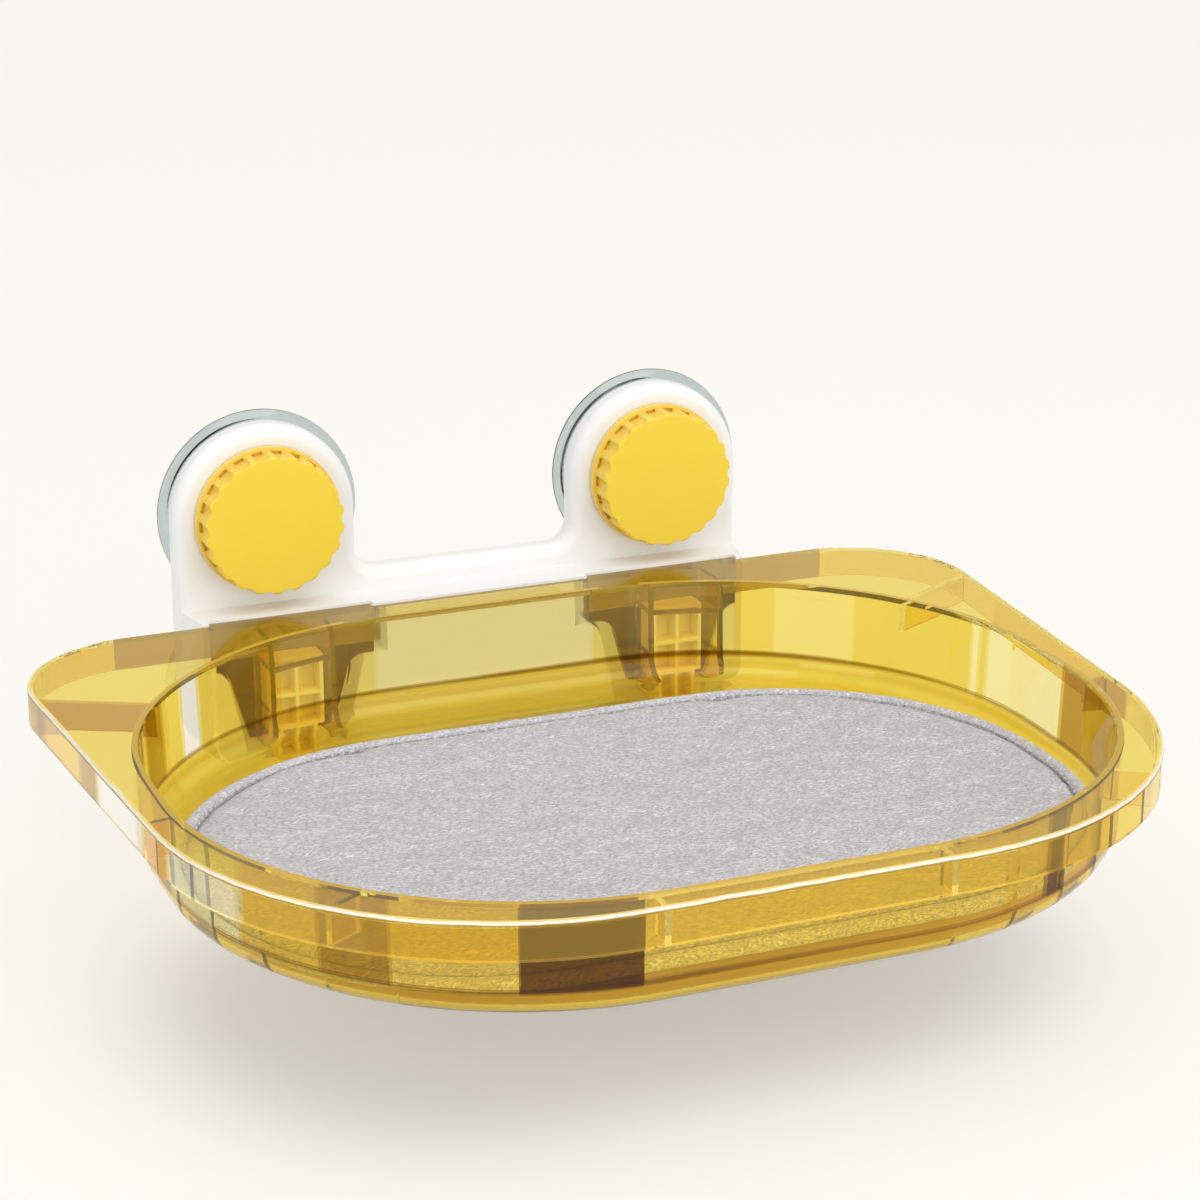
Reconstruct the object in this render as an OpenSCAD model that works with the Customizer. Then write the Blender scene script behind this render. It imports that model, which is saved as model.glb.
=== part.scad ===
// Window perch for a cat: a clear tray on a bracket with two screw-down suction cups.
// The window is the plane y = 0 and the perch is on its -y side, with +z up.
// The origin lies on the window, midway between the axes of the two cups.

/* [Window bracket] */
// Distance between the axes of the two cups
cup_spacing = 184; // [150:1:240]
// Radius of each round ear
ear_r = 41; // [36:0.5:46]
// How far the front of the ears stands off the window
ear_front = 15.2; // [14:0.1:18]
// How far the rear rim of the bracket stays off the window
rear_rim = 5; // [4:0.1:7]
// Rounding of the front edge of the ears and crossbar
ear_edge = 6; // [3:0.5:7]
// Wall of the bracket moulding
bracket_wall = 3; // [2:0.1:4]
// Drop from the cup axes to the top of the crossbar
bar_drop = 29.5; // [20:0.5:34]
// Radius of the inner corner between ear and crossbar
bar_fillet = 10; // [4:0.5:14]
// Drop from the cup axes to the ledge on top of the lower box
ledge_drop = 39; // [37:0.5:50]
// Drop from the cup axes to the bottom of the lower box
box_drop = 106; // [100:1:130]
// How far the front face of the lower box stands off the window
box_front = 34; // [33:0.1:42]
// How much the sides and bottom of the lower box draw in towards its front
box_draft = 5.5; // [1:0.5:8]
// Corner radius at the bottom of the lower box, at its rear
box_corner = 18; // [12:0.5:30]

/* [Suction cups] */
// Radius of a cup's sealing rim
cup_r = 45; // [42:0.5:52]
// Thickness of the cup at the very edge of its rim
cup_lip = 1.6; // [1:0.1:3]
// Height of the hub behind the sealing face
cup_hub_h = 9.6; // [9:0.1:11]
// Radius of the cup's hub
cup_hub_r = 14.5; // [13:0.5:18]
// Depth of the hollow under the middle of the cup
cup_hollow = 2.2; // [1:0.1:3]
// Radius of the threaded post
stud_r = 5; // [4:0.1:6]
// Radius of the post's buried flange
stud_flange_r = 11; // [9:0.1:12]
// Thickness of the post's buried flange
stud_flange_t = 2; // [1.5:0.1:3]
// How far the end of the post stands off the window
stud_tip = 26; // [24:0.1:26.5]

/* [Knobs] */
// Radius over the lobes of the knob
knob_r = 31; // [28:0.5:34]
// How far the face of the knob stands off the window
knob_face = 30; // [29:0.1:32]
// Thickness of the scalloped face plate
knob_cap_t = 2.8; // [2:0.1:3.5]
// Chamfer round the front of the face plate
knob_chamfer = 0.8; // [0.3:0.1:1.2]
// Gap between the rear of the knob and the ear
knob_gap = 0.5; // [0.3:0.1:1]
// Radius of the smooth ring at the rear of the knob
knob_ring_r = 32.4; // [30:0.1:36]
// Height of the smooth rear ring
knob_ring_h = 3.4; // [2:0.1:5]
// Number of grip flutes round the knob
flute_count = 22; // [16:1:28]
// Depth of each grip flute
flute_depth = 1.5; // [0.8:0.1:2.5]
// Radius of each grip flute
flute_r = 4.2; // [3:0.1:6]
// Wall of the knob moulding
knob_wall = 2.6; // [1.6:0.1:3]
// Radius of the threaded insert
nut_r = 8.5; // [7:0.1:10]
// Height of the threaded insert
nut_h = 7; // [5:0.1:7.5]
// Outer radius of the washer under the knob
washer_r = 13; // [11:0.1:16]
// Thickness of the washer under the knob
washer_t = 0.9; // [0.5:0.1:1]

/* [Tray] */
// Width of the tray across its rear corners
tray_w = 427; // [400:1:480]
// Width of the tray across the start of its front corners
tray_front_w = 406; // [390:1:460]
// Depth of the tray from back edge to front edge
tray_d = 337.6; // [325:0.2:390]
// Radius of the rear corners
rear_corner = 51.5; // [40:0.5:60]
// Radius of the front corners
front_corner = 140; // [110:1:150]
// Drop from the cup axes to the top of the tray
tray_drop = 40; // [39.5:0.5:51]
// Thickness of the flange on top
flange_t = 3; // [2:0.1:4]
// Height of the skirt under the flange, with the flange
skirt_h = 15; // [10:0.5:15.5]
// Thickness of the skirt and of the stiffening ribs
skirt_t = 2.5; // [1.8:0.1:3]
// Gap between the tray's back and the front of the bracket
tray_gap = 0.4; // [0.3:0.05:1]

/* [Bowl] */
// Width of the bowl's mouth
bowl_w = 382; // [350:1:386]
// Depth of the bowl's mouth from back to front
bowl_d = 309; // [290:1:312]
// Distance from the tray's back edge to the bowl's mouth
bowl_inset = 15.6; // [14.5:0.1:18]
// Share of the bowl's half depth that its corner radius takes
bowl_corner_share = 0.919; // [0.7:0.001:0.95]
// Depth of the bowl outside, from the flange's top
bowl_h = 46; // [35:0.5:60]
// Wall and floor of the bowl
bowl_wall = 2.6; // [2:0.1:3.5]
// Slope of the bowl's wall in degrees
bowl_draft = 2; // [1:0.5:10]
// Radius between wall and floor, outside
bowl_fillet = 12; // [8:0.5:26]

/* [Hangers] */
// How far each hanger lies inside the axis of its cup
hanger_inset = 2; // [0:0.5:6]
// Reach of the hanger's shoulder towards the middle
shoulder_in = 39; // [32:0.5:42]
// Reach of the hanger's shoulder away from the middle
shoulder_out = 34; // [30:0.5:34.5]
// Height of the hanger's shoulders
shoulder_h = 21; // [17:0.5:26]
// Half width of the hanger's plate below its shoulders
plate_top = 28; // [24:0.5:30]
// Half width of the hanger's plate at its foot
plate_foot = 19; // [17.5:0.5:24]
// Height of the hanger's plate with its shoulders
plate_h = 54; // [48:0.5:56]
// Thickness of the hanger's plate
plate_t = 3.6; // [2.5:0.1:3.8]
// Clearance all round the hanger's plate in the bracket
plate_gap = 0.5; // [0.3:0.05:1]
// Extra room beside the plate in the bracket, on the side towards the middle
recess_room = 6; // [0:0.5:7]
// Depth of the recess behind the front of the lower box
recess_depth = 17; // [13:0.5:18]
// Rounding of the recess where it narrows under the plate's shoulders
recess_fillet = 8; // [3:0.5:10]
// Distance between the two side walls of a hanger's pocket, on centre
pocket_w = 30; // [29:0.5:34]

/* [Tongues] */
// Width of each tongue
tongue_w = 24; // [20:0.5:25]
// Depth of each tongue
tongue_d = 10.9; // [8:0.1:11.2]
// Gap between the tongue's top and the pocket's ceiling
tongue_gap = 0.3; // [0.2:0.05:0.6]
// Thickness of the web that closes a pocket's top
ceiling_t = 2.5; // [1.5:0.1:3]
// Thickness of the tongue's ribs
tongue_rib = 1.8; // [1.2:0.1:2.5]
// How much narrower each side is below the step
tongue_step = 3; // [1:0.1:4]
// Height of the foot that meets the bracket
foot_h = 7.6; // [7:0.1:8]
// Radius of a screw's shank
screw_r = 1.5; // [1.2:0.05:2]
// Radius of a screw's head
screw_head_r = 2.9; // [2.4:0.05:3.2]

/* [Mat] */
// Distance from the mat's rolled edge to the bowl's mouth at each side
mat_side_gap = 6; // [5.5:0.1:30]
// Distance from the mat's rolled edge to the bowl's mouth at the back
mat_back_gap = 46; // [10:0.5:60]
// Distance from the mat's rolled edge to the bowl's mouth at the front
mat_front_gap = 22; // [16:0.5:60]
// Share of the mat's half depth that its corner radius takes
mat_corner_share = 0.947; // [0.7:0.001:0.98]
// Thickness of the fabric pad
mat_t = 5; // [3:0.1:9]
// Thickness of the non-slip sheet under the pad
base_t = 1.2; // [0.8:0.1:2]
// Radius of the rolled edge
piping_r = 3; // [2.4:0.1:4]

/* [Hidden] */
$fn = 96;

// One overrun serves every cut
over = 1;
// Free gap between pieces that only lie near each other
free_gap = 0.3;
cup_x = cup_spacing / 2;
hanger_x = cup_x - hanger_inset;
half_w = cup_x + ear_r;

// Lower box and its recesses
recess_floor = box_front - recess_depth;
recess_bottom = box_drop - bracket_wall;
box_cavity_front = box_front - bracket_wall;

// Suction cup
cup_seat_in = ear_r - bracket_wall;
cup_seat_gap = 0.1;
cup_seat_h = rear_rim - cup_seat_gap;
cup_rise_r = 30;
cup_rise_h = 5.4;
stud_flange_at = 5;

// Knob
knob_rear = ear_front + knob_gap;
knob_cap_rear = knob_face - knob_cap_t;
hub_rear = ear_front + washer_t + free_gap;
hub_r = nut_r + knob_wall;
nut_seat_t = 1.2;
nut_rear = hub_rear + nut_seat_t;
slot_depth_share = 0.45;
slot_w = 4.6;
thread_gap = 0.08;

// Tray, measured as distances from the window
tray_back = box_front + tray_gap;
slot_floor = tray_back - plate_t - plate_gap;
tray_front = tray_back + tray_d;
rear_cx = tray_w / 2 - rear_corner;
rear_cy = tray_back + rear_corner;
front_cx = tray_front_w / 2 - front_corner;
front_cy = tray_front - front_corner;
bowl_back = tray_back + bowl_inset;
bowl_corner = round(bowl_corner_share * bowl_d) / 2;
bowl_cx = bowl_w / 2 - bowl_corner;
bowl_cy_back = bowl_back + bowl_corner;
bowl_cy_front = bowl_back + bowl_d - bowl_corner;
bowl_floor_z = -tray_drop - bowl_h + bowl_wall;

// Half width of the gap in the skirt between the hangers
open_half = hanger_x - shoulder_in - skirt_t;

// Stiffening ribs between bowl and skirt, as places on the rim and on the bowl
rim_rib_shares = [[0.99, 0.17], [0.96, 0.585], [0.76, 0.865], [0.26, 0.995]];
bowl_rib_shares = [[0.87, 0.21], [0.98, 0.58], [0.78, 0.87], [0.29, 0.995]];

// Pocket and tongue
pocket_half = pocket_w / 2;
tongue_back = tray_back + tray_gap;
tongue_front = tongue_back + tongue_d;
tongue_top = tray_drop + skirt_h + tray_gap + tongue_rib / 3;
ceiling_z = -tongue_top + tongue_gap;
tongue_rows = 3;
tongue_row_h = (recess_bottom - tongue_top) / tongue_rows;
step_z = -tongue_top - 2 * tongue_row_h;
screw_spread = 5;
screw_z = -recess_bottom + foot_h / 2;
screw_len = 12;
screw_head_h = 2;

// Rest pads
pad_x = 30;
pad_r = 9;
pad_stem_r = 5;
pad_stem_h = 3;
pad_rise = 16;
pad_z = -box_drop + pad_rise;

// Mat
mat_floor_z = bowl_floor_z + free_gap;
mat_back = bowl_back + mat_back_gap;
mat_w = bowl_w - 2 * mat_side_gap;
mat_d = bowl_d - mat_back_gap - mat_front_gap;
mat_corner = round(mat_corner_share * mat_d) / 2;
piping_z = mat_floor_z + piping_r + base_t / 3;

// Colours
clear_yellow = [0.93, 0.80, 0.30, 0.6];
knob_yellow = [0.96, 0.82, 0.25];
tongue_yellow = [0.92, 0.76, 0.25];
shell_white = [0.97, 0.97, 0.96];
clear_soft = [0.75, 0.85, 0.88, 0.5];
brass = [0.78, 0.62, 0.30];
steel = [0.70, 0.71, 0.72];
felt_grey = [0.78, 0.77, 0.78];
rubber_grey = [0.35, 0.35, 0.36];

// Extrudes an outline drawn in x and z between two distances from the window
module standing(from, to) {
    translate([0, -from, 0]) rotate([90, 0, 0]) linear_extrude(to - from) children();
}

// Revolves a profile of radius and height about an axis that points away from the window
module turned(from) {
    translate([0, -from, 0]) rotate([90, 0, 0]) rotate_extrude() children();
}

// Copies at both sides, with the left one mirrored
module both() {
    children();
    mirror([1, 0, 0]) children();
}

// Half profile of a disc whose far edge is rounded
module rounded_half(w, h, q) {
    polygon([[0, 0], [w, 0], [w, h - q], [w - q, h], [0, h]]);
    intersection() {
        translate([w - q, h - q]) circle(r = q);
        translate([w - q, h - q]) square(q);
    }
}

// Wall bracket

// Section of the front plate in x and y, with its front corners rounded where asked
module plate_section(from_x, to_x, round_from, round_to) {
    q = ear_edge;
    difference() {
        translate([from_x, -ear_front]) square([to_x - from_x, ear_front - rear_rim]);
        if (round_from) difference() {
            translate([from_x - over, -ear_front - over]) square([q + over, q + over]);
            translate([from_x + q, -ear_front + q]) circle(r = q);
        }
        if (round_to) difference() {
            translate([to_x - q, -ear_front - over]) square([q + over, q + over]);
            translate([to_x - q, -ear_front + q]) circle(r = q);
        }
    }
}

// The right ear in three lengths: a half turn, a column, and a foot beside the crossbar
module ear_solid() {
    inner = cup_x - ear_r;
    outer = cup_x + ear_r;
    fillet_z = -bar_drop + bar_fillet;
    low = ledge_drop + ear_edge;
    translate([cup_x, -rear_rim, 0]) rotate([90, 0, 0])
        rotate_extrude(angle = 180) rounded_half(ear_r, ear_front - rear_rim, ear_edge);
    translate([0, 0, fillet_z]) linear_extrude(-fillet_z) plate_section(inner, outer, true, true);
    translate([0, 0, -low]) linear_extrude(low + fillet_z)
        plate_section(inner + ear_edge, outer, false, true);
}

// The inner corner between ear and crossbar, rounded in outline and along its front edge
module inner_corner() {
    depth = ear_front - rear_rim;
    cell = bar_fillet + ear_edge;
    translate([cup_x - ear_r - bar_fillet, -rear_rim, -bar_drop + bar_fillet]) rotate([90, 0, 0])
        intersection() {
            rotate([0, 0, -90]) rotate_extrude(angle = 90) difference() {
                translate([bar_fillet, 0]) square([cell * sqrt(2), depth]);
                difference() {
                    translate([bar_fillet - over, depth - ear_edge])
                        square([ear_edge + over, ear_edge + over]);
                    translate([cell, depth - ear_edge]) circle(r = ear_edge);
                }
            }
            translate([0, -cell, 0]) cube([cell, cell, depth]);
        }
}

module bar_solid() {
    depth = ear_front - rear_rim;
    half = cup_x - ear_r - bar_fillet;
    low = ledge_drop + ear_edge;
    // The bar itself, with a rounded top edge
    translate([-half, 0, 0]) rotate([90, 0, 90]) linear_extrude(2 * half) difference() {
        translate([-ear_front, -low]) square([depth, low - bar_drop]);
        difference() {
            translate([-ear_front - over, -bar_drop - ear_edge]) square([ear_edge + over, ear_edge + over]);
            translate([-ear_front + ear_edge, -bar_drop - ear_edge]) circle(r = ear_edge);
        }
    }
    // Under each inner corner
    both() translate([half, -ear_front, -low])
        cube([bar_fillet + ear_edge, depth, low - bar_drop - ear_edge]);
    both() inner_corner();
}

// One end of the lower box: a thin slice with round bottom corners
module box_end(half, bottom, corner, top) {
    slice = bracket_wall / 20;
    for (s = [-1, 1]) translate([s * (half - corner), 0, -bottom + corner]) rotate([90, 0, 0])
        cylinder(r = corner, h = slice, $fn = 64);
    translate([-half, -slice, -top - ear_edge]) cube([2 * half, slice, ear_edge]);
}

// The lower box, whose sides draw in towards its front. An inset gives its hollow
module box_form(inset, from, to, top) {
    slice = bracket_wall / 20;
    hull() {
        translate([0, -from, 0])
            box_end(half_w - inset, box_drop - inset, box_corner - inset, top);
        translate([0, slice - to, 0])
            box_end(half_w - box_draft - inset, box_drop - inset, box_corner - box_draft - inset, top);
    }
}

// Fills the corner at p between directions a and b up to a circle that touches both
module corner_filler(p, a, b, q) {
    half = acos(a * b) / 2;
    along = q / tan(half);
    mid = p + (a + b) / norm(a + b) * q / sin(half);
    difference() {
        polygon([p, p + along * a, mid, p + along * b]);
        translate(mid) circle(r = q);
    }
}

// Outline of a hanger's plate in x and z, grown all round, and with room on its inner side
module hanger_outline(grow, room, foot_z, top_z) {
    shoulder_z = -tray_drop - shoulder_h;
    q = recess_fillet + plate_gap - grow;
    for (k = [[-1, room], [1, 0]]) {
        corner = [hanger_x + k[0] * (plate_top + grow + k[1]), shoulder_z - grow];
        foot = [hanger_x + k[0] * (plate_foot + grow + k[1]), foot_z];
        corner_filler(corner, [k[0], 0], (foot - corner) / norm(foot - corner), q);
    }
    polygon([
        [hanger_x - shoulder_in - grow - room, top_z],
        [hanger_x - shoulder_in - grow - room, shoulder_z - grow],
        [hanger_x - plate_top - grow - room, shoulder_z - grow],
        [hanger_x - plate_foot - grow - room, foot_z],
        [hanger_x + plate_foot + grow, foot_z],
        [hanger_x + plate_top + grow, shoulder_z - grow],
        [hanger_x + shoulder_out + grow, shoulder_z - grow],
        [hanger_x + shoulder_out + grow, top_z]]);
}

module bracket_hollow() {
    wall = bracket_wall;
    // Behind the ears and the bar
    standing(rear_rim - over, ear_front - wall) {
        for (s = [-1, 1]) translate([s * cup_x, 0]) {
            circle(r = ear_r - wall);
            translate([-ear_r + wall, -ledge_drop - wall]) square([2 * (ear_r - wall), ledge_drop + wall]);
        }
        translate([-cup_x, -ledge_drop - wall]) square([2 * cup_x, ledge_drop - bar_drop]);
    }
    // Inside the lower box, less the walls of the two recesses
    difference() {
        box_form(wall, rear_rim - over, box_cavity_front, ledge_drop + wall);
        both() standing(recess_floor - wall, box_front + over)
            hanger_outline(plate_gap + wall, recess_room, -box_drop, -ledge_drop + over);
        both() translate([pad_x, 0, pad_z]) standing(rear_rim, box_front)
            circle(r = pad_r);
    }
}

module wall_bracket() {
    color(shell_white) difference() {
        union() {
            difference() {
                union() {
                    both() ear_solid();
                    bar_solid();
                    box_form(0, rear_rim, box_front, ledge_drop);
                }
                bracket_hollow();
            }
            // Bosses that carry the studs
            both() translate([cup_x, 0, 0]) standing(cup_hub_h + free_gap, ear_front)
                circle(r = cup_hub_r);
        }
        both() {
            // The recess, and the slot in the ledge that the plate drops through
            standing(recess_floor, box_front + over)
                hanger_outline(plate_gap, recess_room, -recess_bottom, -ledge_drop - bracket_wall);
            standing(slot_floor, box_front + over)
                translate([hanger_x - shoulder_in - plate_gap, -ledge_drop - bracket_wall])
                    square([shoulder_in + shoulder_out + 2 * plate_gap, bracket_wall + over]);
            translate([cup_x, 0, 0]) standing(rear_rim - over, ear_front + over)
                circle(r = stud_r + free_gap);
            for (s = [-1, 1]) translate([hanger_x + s * screw_spread, 0, screw_z])
                standing(recess_floor - bracket_wall - over, recess_floor + over)
                    circle(r = screw_r + free_gap / 2);
            translate([pad_x, 0, pad_z]) standing(rear_rim - over, rear_rim + pad_stem_h)
                circle(r = pad_stem_r);
        }
    }
}

module rest_pads() {
    color(clear_soft) both() translate([pad_x, 0, pad_z]) {
        standing(0, rear_rim) circle(r = pad_r - free_gap);
        standing(rear_rim - over, rear_rim + pad_stem_h) circle(r = pad_stem_r);
    }
}

// Suction cups and their posts

module stud_profile(grow) {
    polygon([
        [0, stud_flange_at - grow], [stud_flange_r + grow, stud_flange_at - grow],
        [stud_flange_r + grow, stud_flange_at + stud_flange_t + grow],
        [stud_r + grow, stud_flange_at + stud_flange_t + grow],
        [stud_r + grow, stud_tip + grow], [0, stud_tip + grow]]);
}

module suction_cup() {
    color(clear_soft) translate([cup_x, 0, 0]) difference() {
        turned(0) polygon([
            [0, cup_hollow], [cup_hub_r, cup_hollow], [cup_rise_r, 0], [cup_r, 0],
            [cup_r, cup_lip], [ear_r + cup_lip / 2, cup_seat_h], [cup_seat_in - cup_lip / 2, cup_seat_h],
            [cup_rise_r, cup_rise_h], [cup_hub_r, cup_hub_h - cup_hollow], [cup_hub_r - cup_lip, cup_hub_h],
            [0, cup_hub_h]]);
        turned(0) stud_profile(free_gap);
    }
}

module cup_stud() {
    color(steel) translate([cup_x, 0, 0]) turned(0) stud_profile(0);
}

// Knobs

module thrust_washer() {
    color(shell_white) translate([cup_x, 0, 0]) standing(ear_front, ear_front + washer_t) difference() {
        circle(r = washer_r);
        circle(r = stud_r + free_gap);
    }
}

// Scalloped outline of the knob, shared by the shell and the face plate
module knob_outline() {
    difference() {
        circle(r = knob_r);
        for (i = [0 : flute_count - 1]) rotate(i * 360 / flute_count)
            translate([knob_r + flute_r - flute_depth, 0]) circle(r = flute_r, $fn = 32);
    }
}

module knob_body() {
    ring_front = knob_rear + knob_ring_h;
    color(knob_yellow) translate([cup_x, 0, 0]) difference() {
        union() {
            standing(knob_rear, knob_cap_rear) knob_outline();
            standing(knob_rear, ring_front) circle(r = knob_ring_r);
        }
        // Hollow rear, with a hub left standing in the middle
        standing(knob_rear - over, knob_cap_rear - knob_wall) difference() {
            circle(r = knob_r - flute_depth - knob_wall);
            circle(r = hub_r);
        }
        standing(knob_rear - over, hub_rear) circle(r = hub_r + over);
        standing(hub_rear - over, nut_rear) circle(r = stud_r + free_gap);
        standing(nut_rear, nut_rear + nut_h) circle(r = nut_r);
        standing(nut_rear, knob_cap_rear + over) circle(r = stud_r + free_gap);
        // Slots where the flutes meet the rear ring
        standing(ring_front - knob_ring_h * slot_depth_share, ring_front + over)
            for (i = [0 : flute_count - 1]) rotate(i * 360 / flute_count)
                translate([knob_r - flute_depth, -slot_w / 2]) square([flute_depth, slot_w]);
    }
}

module knob_nut() {
    color(brass) translate([cup_x, 0, 0]) standing(nut_rear, nut_rear + nut_h) difference() {
        circle(r = nut_r);
        circle(r = stud_r + thread_gap);
    }
}

module knob_cap() {
    color(knob_yellow) translate([cup_x, 0, 0]) intersection() {
        standing(knob_cap_rear, knob_face) knob_outline();
        turned(0) polygon([
            [0, knob_cap_rear - over], [knob_r + over, knob_cap_rear - over],
            [knob_r + over, knob_face - knob_chamfer - over], [knob_r - knob_chamfer, knob_face],
            [0, knob_face]]);
    }
}

// Tray

// Direction of the outer tangent of two circles, as an angle from +x
function tangent_angle(p, q, rp, rq) =
    atan2(q[1] - p[1], q[0] - p[0]) + acos((rp - rq) / norm(q - p));
function on_circle(c, r, a) = c + r * [cos(a), sin(a)];

// Outline of the tray in x and y, drawn in by an inset
module tray_outline(inset) {
    rr = rear_corner - inset;
    fr = front_corner - inset;
    rear = [rear_cx, -rear_cy];
    front = [front_cx, -front_cy];
    a = tangent_angle(rear, front, rear_corner, front_corner);
    p = on_circle(rear, rr, a);
    q = on_circle(front, fr, a);
    polygon([
        [rear_cx, -rear_cy + rr], p, q, [front_cx, -front_cy - fr],
        [-front_cx, -front_cy - fr], [-q[0], q[1]], [-p[0], p[1]], [-rear_cx, -rear_cy + rr]]);
    for (s = [-1, 1]) {
        translate([s * rear_cx, -rear_cy]) circle(r = rr);
        translate([s * front_cx, -front_cy]) circle(r = fr);
    }
}

// Half profile of the bowl from its corner's centre, with a sloped wall and a round edge
module bowl_profile(r, depth, fillet, above) {
    cx = r - (fillet + sin(bowl_draft) * (depth - fillet)) / cos(bowl_draft);
    cz = -depth + fillet;
    polygon([
        [0, above], [r + above * tan(bowl_draft), above],
        [cx + fillet * cos(bowl_draft), cz - fillet * sin(bowl_draft)],
        [cx, cz], [cx, -depth], [0, -depth]]);
    intersection() {
        translate([cx, cz]) circle(r = fillet);
        translate([cx, -depth]) square([fillet, fillet]);
    }
}

// The bowl's body: the profile turned round each corner and run along each side
module bowl_form(r, depth, fillet, above) {
    long = 2 * bowl_cx;
    wide = bowl_cy_front - bowl_cy_back;
    translate([0, 0, -tray_drop]) {
        for (k = [[1, -bowl_cy_back, 0], [-1, -bowl_cy_back, 90],
                  [-1, -bowl_cy_front, 180], [1, -bowl_cy_front, 270]])
            translate([k[0] * bowl_cx, k[1], 0]) rotate([0, 0, k[2]])
                rotate_extrude(angle = 90) bowl_profile(r, depth, fillet, above);
        // Back and front
        translate([bowl_cx, -bowl_cy_back, 0]) rotate([90, 0, 90]) translate([0, 0, -long])
            linear_extrude(long) bowl_profile(r, depth, fillet, above);
        translate([-bowl_cx, -bowl_cy_front, 0]) rotate([90, 0, -90]) translate([0, 0, -long])
            linear_extrude(long) bowl_profile(r, depth, fillet, above);
        // Sides
        translate([bowl_cx, -bowl_cy_back, 0]) rotate([90, 0, 0])
            linear_extrude(wide) bowl_profile(r, depth, fillet, above);
        translate([-bowl_cx, -bowl_cy_front, 0]) rotate([90, 0, 180])
            linear_extrude(wide) bowl_profile(r, depth, fillet, above);
        translate([-bowl_cx, -bowl_cy_front, -depth]) cube([long, wide, depth + above]);
    }
}

// A flat rib of the skirt's height from a place on the rim to a place on the bowl
module stiffening_rib(rim_share, bowl_share) {
    rim = [rim_share[0] * tray_w / 2, -tray_back - rim_share[1] * tray_d];
    bowl = [bowl_share[0] * bowl_w / 2, -bowl_back - bowl_share[1] * bowl_d];
    run = norm(bowl - rim);
    a = atan2(bowl[1] - rim[1], bowl[0] - rim[0]);
    translate([rim[0], rim[1], -tray_drop - skirt_h]) rotate([0, 0, a])
        translate([0, -skirt_t / 2, 0]) cube([run + bowl_wall, skirt_t, skirt_h]);
}

module hanger_solid() {
    // The plate that drops into the bracket
    standing(tray_back - plate_t, tray_back)
        hanger_outline(0, 0, -tray_drop - plate_h, -tray_drop);
    // Side walls of the pocket, which run forward into the bowl's wall and round edge
    rib_front = bowl_back + bowl_fillet;
    foot = -tray_drop - plate_h;
    for (s = [-1, 1])
        translate([hanger_x + s * pocket_half - skirt_t / 2, 0, 0])
            rotate([90, 0, 90]) linear_extrude(skirt_t) polygon([
                [-tray_back, foot], [-tray_back, -tray_drop], [-rib_front, -tray_drop],
                [-rib_front, bowl_floor_z - bowl_wall / 2], [-bowl_back, foot]]);
    // Ceiling that comes to rest on the tongue
    translate([hanger_x - pocket_half, -rib_front, ceiling_z])
        cube([pocket_w, rib_front - tray_back, ceiling_t]);
}

module tray() {
    color(clear_yellow) difference() {
        union() {
            translate([0, 0, -tray_drop - flange_t]) linear_extrude(flange_t) tray_outline(0);
            translate([0, 0, -tray_drop - skirt_h]) linear_extrude(skirt_h) difference() {
                tray_outline(0);
                tray_outline(skirt_t);
            }
            intersection() {
                translate([0, 0, -tray_drop - skirt_h]) linear_extrude(skirt_h) tray_outline(0);
                both() for (i = [0 : len(rim_rib_shares) - 1])
                    stiffening_rib(rim_rib_shares[i], bowl_rib_shares[i]);
            }
            both() hanger_solid();
            bowl_form(bowl_corner + bowl_wall, bowl_h, bowl_fillet, 0);
        }
        bowl_form(bowl_corner, bowl_h - bowl_wall, bowl_fillet - bowl_wall, over);
        // The skirt stops at the hangers, so that nothing hangs between them
        standing(tray_back - over, tray_back + skirt_t)
            translate([-open_half, -tray_drop - skirt_h - over])
                square([2 * open_half, skirt_h + over - flange_t]);
    }
}

// Tongues that stand in the hangers' pockets

module tongue_outline(inset) {
    half = tongue_w / 2 - inset;
    low_half = tongue_w / 2 - tongue_step - inset;
    polygon([
        [-half, -tongue_top - inset], [-half, step_z + inset], [-low_half, step_z + inset],
        [-low_half, -recess_bottom + inset], [low_half, -recess_bottom + inset],
        [low_half, step_z + inset], [half, step_z + inset], [half, -tongue_top - inset]]);
}

module hanger_block() {
    color(tongue_yellow) translate([hanger_x, 0, 0]) difference() {
        union() {
            standing(tongue_back, tongue_back + tongue_rib) tongue_outline(0);
            standing(tongue_back, tongue_front) difference() {
                tongue_outline(0);
                tongue_outline(tongue_rib);
            }
            // Ribs of the lattice
            standing(tongue_back, tongue_front) {
                translate([-tongue_rib / 2, -recess_bottom]) square([tongue_rib, recess_bottom - tongue_top]);
                for (i = [1 : tongue_rows - 1])
                    translate([-tongue_w / 2 + tongue_step, -tongue_top - i * tongue_row_h - tongue_rib / 2])
                        square([tongue_w - 2 * tongue_step, tongue_rib]);
                translate([-tongue_w / 2, step_z]) square([tongue_w, tongue_rib]);
                translate([-tongue_w / 2, step_z + tongue_row_h - tongue_rib / 2])
                    square([tongue_w, tongue_rib]);
            }
            // Foot under the hanger's plate
            standing(recess_floor, tongue_back)
                translate([-tongue_w / 2 + tongue_step, -recess_bottom])
                    square([tongue_w - 2 * tongue_step, foot_h]);
        }
        for (s = [-1, 1]) translate([s * screw_spread, 0, screw_z])
            standing(recess_floor - over, recess_floor - bracket_wall + screw_len) circle(r = screw_r);
    }
}

module block_screws() {
    head_back = recess_floor - bracket_wall;
    color(steel) both() for (s = [-1, 1]) translate([hanger_x + s * screw_spread, 0, screw_z]) {
        standing(head_back - screw_head_h, head_back) circle(r = screw_head_r);
        standing(head_back - screw_head_h / 2, head_back + screw_len) circle(r = screw_r);
    }
}

// Mat

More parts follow.
